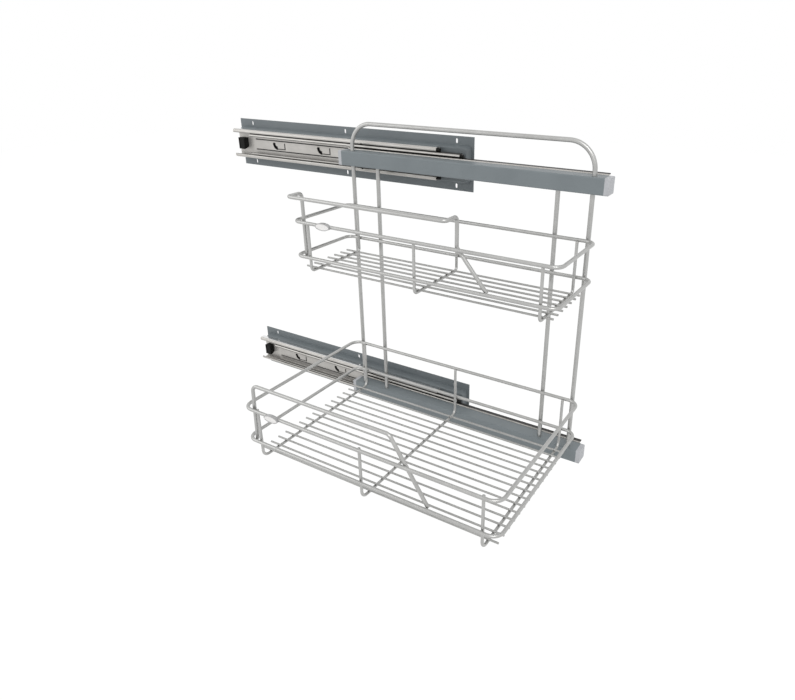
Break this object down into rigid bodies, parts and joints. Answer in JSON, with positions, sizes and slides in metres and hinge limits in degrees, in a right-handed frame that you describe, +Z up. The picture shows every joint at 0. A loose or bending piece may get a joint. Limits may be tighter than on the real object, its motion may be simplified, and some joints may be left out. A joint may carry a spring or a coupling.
{
  "type": "two-tier cabinet basket",
  "caption": "Pull-out kitchen cabinet organiser: a shallow and a deep wire basket on a bent wire frame, carried by ball-bearing slides on pressed wall brackets.",
  "frame": {"origin": "middle of the upper wall bracket, on its back face", "axes": "+X the way the baskets pull out, +Y into the cabinet wall that carries the brackets, +Z up"},
  "size_m": [0.6558, 0.2948, 0.4756],
  "materials": {
    "blue_grey_paint": "satin powder coat",
    "zinc_plate": "zinc plated",
    "ball_steel": "polished",
    "wire_coat": "satin silver-grey coat",
    "cap_plastic": "moulded",
    "bumper_rubber": "moulded",
    "tag_plastic": "smooth, blank"
  },
  "bodies": {
    "wall_side": {"lower_bumper": "bumper_rubber", "lower_outer_member": "zinc_plate", "lower_outer_stops": "bumper_rubber", "lower_slide_rivets": "zinc_plate", "lower_wall_bracket": "blue_grey_paint", "upper_bumper": "bumper_rubber", "upper_outer_member": "zinc_plate", "upper_outer_stops": "bumper_rubber", "upper_slide_rivets": "zinc_plate", "upper_wall_bracket": "blue_grey_paint"},
    "upper_intermediate": {"upper_intermediate_member": "zinc_plate", "upper_intermediate_stops": "bumper_rubber"},
    "lower_intermediate": {"lower_intermediate_member": "zinc_plate", "lower_intermediate_stops": "bumper_rubber"},
    "upper_outer_ball_cage": {"upper_outer_cage": "zinc_plate", "upper_outer_balls": "ball_steel"},
    "lower_outer_ball_cage": {"lower_outer_cage": "zinc_plate", "lower_outer_balls": "ball_steel"},
    "upper_inner_ball_cage": {"upper_inner_cage": "zinc_plate", "upper_inner_balls": "ball_steel"},
    "lower_inner_ball_cage": {"lower_inner_cage": "zinc_plate", "lower_inner_balls": "ball_steel"},
    "carriage": {"front_upright": "wire_coat", "lower_basket_cross_wires": "wire_coat", "lower_basket_floor_wires": "wire_coat", "lower_basket_front_rail": "wire_coat", "lower_basket_mid_rim": "wire_coat", "lower_basket_tag": "tag_plastic", "lower_basket_top_rim": "wire_coat", "lower_front_cap": "cap_plastic", "lower_inner_member": "zinc_plate", "lower_rear_cap": "cap_plastic", "lower_runner_profile": "blue_grey_paint", "lower_runner_rivets": "zinc_plate", "outer_hoop": "wire_coat", "rear_upright": "wire_coat", "upper_basket_cross_wires": "wire_coat", "upper_basket_floor_wires": "wire_coat", "upper_basket_front_rail": "wire_coat", "upper_basket_mid_rim": "wire_coat", "upper_basket_tag": "tag_plastic", "upper_basket_top_rim": "wire_coat", "upper_front_cap": "cap_plastic", "upper_inner_member": "zinc_plate", "upper_rear_cap": "cap_plastic", "upper_runner_profile": "blue_grey_paint", "upper_runner_rivets": "zinc_plate"}
  },
  "joints": [
    {"name": "upper_intermediate_slide", "type": "slide", "parent": "wall_side", "child": "upper_intermediate", "axis": [1, 0, 0], "range_m": [-0.0125, 0.171]},
    {"name": "carriage_slide", "type": "slide", "parent": "upper_intermediate", "child": "carriage", "axis": [1, 0, 0], "range_m": [-0.233, 0]},
    {"name": "lower_intermediate_slide", "type": "slide", "parent": "wall_side", "child": "lower_intermediate", "axis": [1, 0, 0], "range_m": [-0.0125, 0.171]},
    {"name": "upper_outer_cage_slide", "type": "slide", "parent": "wall_side", "child": "upper_outer_ball_cage", "axis": [1, 0, 0], "range_m": [-0.00625, 0.0855]},
    {"name": "lower_outer_cage_slide", "type": "slide", "parent": "wall_side", "child": "lower_outer_ball_cage", "axis": [1, 0, 0], "range_m": [-0.00625, 0.0855]},
    {"name": "upper_inner_cage_slide", "type": "slide", "parent": "upper_intermediate", "child": "upper_inner_ball_cage", "axis": [1, 0, 0], "range_m": [-0.1165, 0]},
    {"name": "lower_inner_cage_slide", "type": "slide", "parent": "lower_intermediate", "child": "lower_inner_ball_cage", "axis": [1, 0, 0], "range_m": [-0.1165, 0]}
  ],
  "couplings": [
    {"joint": "lower_intermediate_slide", "follows": "upper_intermediate_slide", "ratio": 1},
    {"joint": "upper_outer_cage_slide", "follows": "upper_intermediate_slide", "ratio": 0.5},
    {"joint": "lower_outer_cage_slide", "follows": "upper_intermediate_slide", "ratio": 0.5},
    {"joint": "upper_inner_cage_slide", "follows": "carriage_slide", "ratio": 0.5},
    {"joint": "lower_inner_cage_slide", "follows": "carriage_slide", "ratio": 0.5}
  ]
}
